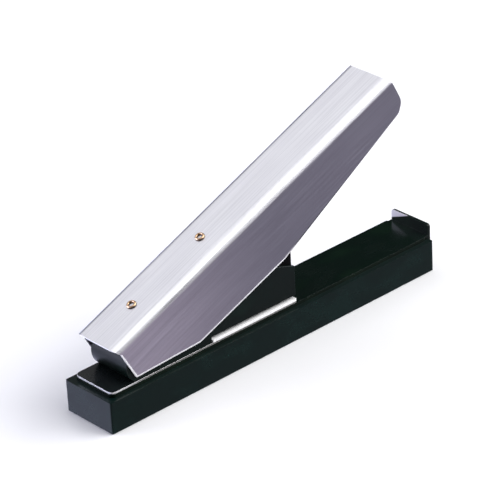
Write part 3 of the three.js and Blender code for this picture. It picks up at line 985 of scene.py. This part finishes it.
@dataclass
class Handle:
    """The folded cover with its rivets, and the lever inside it.

    Lengths are counted from the hinge end of the cover's top face: along the face, then below it.
    """

    open_angle_deg: float = 22.3
    width: float = 24.3
    sheet: float = 0.85
    bend: float = 4.0
    pivot_along: float = 37.7
    pivot_below: float = 20.5
    near_slant: float = 2.2  # how far the near edge runs back down its bend
    far_start: float = 169.5  # where the top face ends
    far_slant: float = 2.0  # how far the far edge runs on down its bend
    rivets_along: tuple[float, float] = (22.3, 63.8)
    riveted: float = 2.8  # the cover, the lever's web and the gap between them
    chamfer_width: float = 0.8
    chamfer_depth: float = 0.14
    chamfer_end: float = 92.0  # the chamfer narrows past here, along the handle
    chamfer_narrowing: float = 4.0  # how many times narrower it is there
    bend_steps: int = 16
    corner_steps: int = 8

    def place(self) -> Matrix:
        """Gives where the cover's own axes lie, from the hinge's position."""
        hinge = next(j for j in frame["joints"] if j["name"] == "handle_press")
        return (
            Matrix.Translation(Vector(hinge["pos_m"]))
            @ Matrix.Rotation(-math.radians(self.open_angle_deg), 4, "Y")
            @ Matrix.Translation(Vector((-self.pivot_along, 0, self.pivot_below)) * MM)
        )

    def build(self) -> None:
        """Builds the cover and its rivets, and dresses the lever."""
        dress("handle_lever", BLACKED, BLACKED_EDGE, BROKEN)
        self.cover()
        for number, along in enumerate(self.rivets_along, start=1):
            self.rivet(number, along)

    def wall_outline(self) -> list[Vector]:
        """Draws a wall's outline below the bend, from the hinge end round to the finger end.

        Returns:
            Points in mm: X along the handle, Z up from the top face.
        """
        corners = [
            (self.near_slant, -self.bend, 0.0),
            (3.7, -19.4, 1.2),
            (36.6, -31.3, 3.0),
            (89.0, -32.2, 4.0),
            (169.0, -19.1, 4.5),
            (172.5, -15.0, 5.0),
            (self.far_start + self.far_slant, -self.bend, 0.0),
        ]
        points: list[Vector] = []
        for i, (along, up, radius) in enumerate(corners):
            here = Vector((along, 0, up))
            if not radius:
                points.append(here)
                continue
            back = (Vector((corners[i - 1][0], 0, corners[i - 1][1])) - here).normalized()
            onward = (Vector((corners[i + 1][0], 0, corners[i + 1][1])) - here).normalized()
            reach = radius / math.tan(back.angle(onward) / 2)
            start, end = here + back * reach, here + onward * reach
            for step in range(self.corner_steps + 1):
                t = step / self.corner_steps
                points.append(start * (1 - t) ** 2 + here * 2 * t * (1 - t) + end * t**2)
        return points

    def inset(self, outline: list[Vector]) -> list[Vector]:
        """Draws a wall's flat field, inside the chamfer that runs round its free edge.

        Args:
            outline: The wall's outline, whose closing edge lies along the bend.

        Returns:
            One point for each of the outline's points.
        """
        count = len(outline)
        field: list[Vector] = []
        for i, point in enumerate(outline):
            back = (point - outline[i - 1]).normalized()
            onward = (outline[(i + 1) % count] - point).normalized()
            inward = Vector((-back.z - onward.z, 0, back.x + onward.x)).normalized()
            narrowing = 1.0 if point.x < self.chamfer_end else self.chamfer_narrowing
            field.append(point + inward * self.chamfer_width / narrowing)
        return field

    def end_at(self, drop: float) -> tuple[float, float]:
        """Gives where the bent strip starts and ends along the handle, at a depth below the top."""
        share = drop / self.bend
        return self.near_slant * share, self.far_start + self.far_slant * share

    def skin(self) -> tuple[list[Vector], list[tuple[int, ...]]]:
        """Makes the cover's outer skin: two walls, two bends and the top.

        Returns:
            The vertices, in metres on the cover's own axes, and the faces, which point outwards.
        """
        half = self.width / 2
        outline = self.wall_outline()
        vertices: list[Vector] = []
        faces: list[tuple[int, ...]] = []
        walls: dict[int, list[int]] = {}
        field = self.inset(outline)
        count = len(outline)
        last = count - 1
        for side in (-1, 1):
            start = len(vertices)
            walls[side] = list(range(start, start + count))
            for i, point in enumerate(outline):
                rim = 0.0 if i in (0, last) else self.chamfer_depth
                vertices.append(Vector((point.x, side * (half - rim), point.z)))
            vertices += [Vector((point.x, side * half, point.z)) for point in field]
            ring = [
                (start + i, start + (i + 1) % count, start + count + (i + 1) % count, start + count + i)
                for i in range(count)
            ]
            loops = ring + [tuple(range(start + count, start + 2 * count))]
            faces += loops if side < 0 else [tuple(reversed(loop)) for loop in loops]
        rows = [(walls[-1][0], walls[-1][-1])]
        for side in (-1, 1):
            steps = range(1, self.bend_steps + 1) if side < 0 else range(self.bend_steps, 0, -1)
            for step in steps:
                turn = math.pi / 2 * step / self.bend_steps
                drop = self.bend * (1 - math.sin(turn))
                across = side * (half - self.bend * (1 - math.cos(turn)))
                near, far = self.end_at(drop)
                rows.append((len(vertices), len(vertices) + 1))
                vertices += [Vector((near, across, -drop)), Vector((far, across, -drop))]
        rows.append((walls[1][0], walls[1][-1]))
        faces += [(a[0], a[1], b[1], b[0]) for a, b in zip(rows, rows[1:])]
        return [v * MM for v in vertices], faces

    def cover(self) -> None:
        """Builds the folded cover: skin, sheet thickness, and bright rounded rims."""
        vertices, faces = self.skin()
        cover = add_piece("handle_cover_folded", "handle", vertices, faces)
        cover.matrix_world = self.place()
        coat(cover, HANDLE_STEEL, COVER_RIM)
        for face in cover.data.polygons:
            lowest = min(cover.data.vertices[v].co.z for v in face.vertices)
            on_chamfer = face.normal.y < -0.9 and len(face.vertices) == 4
            if on_chamfer and lowest < -(self.bend + self.chamfer_width + 0.1) * MM:
                face.material_index = 1
        thicken = cover.modifiers.new("sheet_thickness", "SOLIDIFY")
        thicken.thickness = self.sheet * MM
        thicken.offset = -1
        thicken.use_even_offset = True
        thicken.material_offset_rim = 1
        soften(cover, Softening(0.4, angle_deg=60, segments=3))
        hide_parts("handle_cover")

    def rivet(self, number: int, along: float) -> None:
        """Turns one semi-tubular rivet: a domed head with a deep dimple, and a rolled tail.

        Args:
            number: The rivet's number, from the hinge end.
            along: Where it is along the handle, in mm.
        """
        under = self.riveted
        dome = [(2.18 - 0.55 * (1 - math.cos(a)), 0.1 + 0.75 * math.sin(a)) for a in self.arc(7)]
        bowl = [(0.35 + 0.75 * math.cos(a), 0.45 - 0.95 * math.sin(a)) for a in self.arc(6)]
        profile = (
            [(0.0, -under - 0.85), (1.5, -under - 0.85), (2.0, -under - 0.6), (2.1, -under - 0.25)]
            + [(1.9, -under - 0.05), (1.3, -under - 0.05), (1.3, 0.05), (2.05, 0.05)]
            + dome
            + [(1.35, 0.83)]
            + bowl
            + [(0.0, -0.5)]
        )
        vertices, faces = turned(profile, 48)
        rivet = add_piece(f"brass_rivet_{number}", "handle", vertices, faces)
        rivet.matrix_world = self.place() @ Matrix.Translation(Vector((along, 0, 0)) * MM)
        coat(rivet, BRASS)
        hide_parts(f"rivet_{number}")

    def arc(self, steps: int) -> list[float]:
        """Gives the angles of a quarter turn in equal steps."""
        return [math.pi / 2 * i / steps for i in range(steps + 1)]


# ---------------------------------------------------------------------------------------------
# Studio
# ---------------------------------------------------------------------------------------------
@dataclass(frozen=True)
class Softbox:
    """A square soft light: the way to it from the object, its distance, side and brightness."""

    name: str
    direction: tuple[float, float, float]
    distance: float
    side: float
    radiance: float
    tint: str = "#ffffff"

    def build(self, target: Vector) -> None:
        """Hangs the light and turns it to the object.

        Args:
            target: The point that it faces, in metres.
        """
        data = bpy.data.lights.new(self.name, "AREA")
        data.shape = "SQUARE"
        data.size = self.side
        data.energy = self.radiance * math.pi * self.side**2
        data.color = linear(self.tint)[:3]
        light = bpy.data.objects.new(self.name, data)
        away = Vector(self.direction).normalized()
        light.location = target + away * self.distance
        light.rotation_euler = away.to_track_quat("Z", "Y").to_euler()
        bpy.context.scene.collection.objects.link(light)


@dataclass
class Studio:
    """A white paper sweep, soft lights, a dim room and the camera."""

    lights: tuple[Softbox, ...] = (
        Softbox("key_right", (0.7, -0.5, 0.5), 2.2, 2.2, 4.3),
        Softbox("bend_high", (0.03, -0.25, 0.97), 1.0, 0.75, 1.05),
        Softbox("bend_low", (0.1, -0.7, 0.7), 1.0, 0.42, 2.1),
        Softbox("fill_behind", (0.08, 0.6, 0.77), 1.1, 0.9, 0.84, "#fdfdff"),
        Softbox("fill_left", (-0.72, 0.64, 0.24), 1.0, 0.8, 4.0, "#e4e6ff"),
    )
    room: str = "#35353d"
    ceiling: str = "#c2c2c6"
    floor_glow: str = "#dcdfff"
    glow: float = 2.0  # how much brighter the lit paper is than white under the room's light
    floor_shade: str = "#9a949f"
    glow_from: tuple[float, float] = (-0.6, 0.4)  # the directions' Y over which the paper brightens
    horizon: tuple[float, float] = (0.02, -0.08)  # their Z over which the room gives way to paper
    ceiling_from: tuple[float, float] = (0.55, 0.95)  # their Z over which the ceiling begins
    floor_side: float = 6.0
    azimuth_deg: float = -131.604
    elevation_deg: float = 28.435
    roll_deg: float = -2.969
    distance: float = 1.25345
    lens: float = 214.65
    aim: tuple[float, float, float] = (0.00442, 0.00742, 0.03757)

    def build(self) -> None:
        """Sets up the floor, the room, the lights and the camera."""
        self.floor()
        self.room_light()
        for light in self.lights:
            light.build(Vector(self.aim))
        self.camera()

    def floor(self) -> None:
        """Lays the paper; it lights the object but isn't mirrored in it."""
        mesh = bmesh.new()
        bmesh.ops.create_grid(mesh, x_segments=1, y_segments=1, size=self.floor_side / 2)
        data = bpy.data.meshes.new("paper_sweep")
        mesh.to_mesh(data)
        mesh.free()
        data.materials.append(PAPER.material())
        floor = bpy.data.objects.new("paper_sweep", data)
        bpy.context.scene.collection.objects.link(floor)
        floor.visible_glossy = False

    def room_light(self) -> None:
        """Makes the room: dim above, and below a glow like lit paper that fades to one side."""
        world = bpy.data.worlds.new("studio_room")
        world.use_nodes = True
        tree = world.node_tree
        tree.nodes.clear()
        way = add_node(tree, "ShaderNodeTexCoord").outputs["Generated"]
        axes = add_node(tree, "ShaderNodeSeparateXYZ", inputs={"Vector": way})
        lit_paper = tuple(self.glow * c for c in linear(self.floor_glow))
        lit, below, above = (
            add_node(
                tree,
                "ShaderNodeMapRange",
                {"interpolation_type": "SMOOTHSTEP"},
                {"Value": axes.outputs[axis], "From Min": start, "From Max": end},
            ).outputs["Result"]
            for axis, (start, end) in (
                ("Y", self.glow_from),
                ("Z", self.horizon),
                ("Z", self.ceiling_from),
            )
        )
        over, paper = (
            add_node(
                tree, "ShaderNodeMix", {"data_type": "RGBA"}, {0: share, 6: first, 7: second}
            ).outputs[2]
            for share, first, second in (
                (above, linear(self.room), linear(self.ceiling)),
                (lit, linear(self.floor_shade), lit_paper),
            )
        )
        all_round = add_node(
            tree, "ShaderNodeMix", {"data_type": "RGBA"}, {0: below, 6: over, 7: paper}
        )
        background = add_node(tree, "ShaderNodeBackground", inputs={"Color": all_round.outputs[2]})
        add_node(tree, "ShaderNodeOutputWorld", inputs={"Surface": background.outputs["Background"]})
        bpy.context.scene.world = world
        bpy.context.scene.view_settings.view_transform = "Standard"

    def camera(self) -> None:
        """Places the camera a little above the object, off its hinge-end corner."""
        azimuth, elevation, roll = (
            math.radians(a) for a in (self.azimuth_deg, self.elevation_deg, self.roll_deg)
        )
        away = Vector(
            (
                math.cos(elevation) * math.cos(azimuth),
                math.cos(elevation) * math.sin(azimuth),
                math.sin(elevation),
            )
        )
        level = (-away).cross(Vector((0, 0, 1))).normalized()
        upright = level.cross(-away)
        right = math.cos(roll) * level + math.sin(roll) * upright
        up = math.cos(roll) * upright - math.sin(roll) * level
        data = bpy.data.cameras.new("camera")
        data.lens = self.lens
        data.sensor_width = 36.0
        data.clip_end = 20.0
        camera = bpy.data.objects.new("camera", data)
        turn = Matrix((right, up, away)).transposed().to_4x4()
        camera.matrix_world = Matrix.Translation(Vector(self.aim) + away * self.distance) @ turn
        bpy.context.scene.collection.objects.link(camera)
        bpy.context.scene.camera = camera


def main() -> None:
    """Builds the studio and the sub-assemblies, and logs each as it starts."""
    logging.basicConfig(level=logging.INFO, format="%(name)s: %(message)s")
    for part in (Studio(), Base(), PunchUnit(), Ram(), Handle()):
        log.info("building %s", type(part).__name__)
        part.build()


if __name__ == "__main__":
    main()
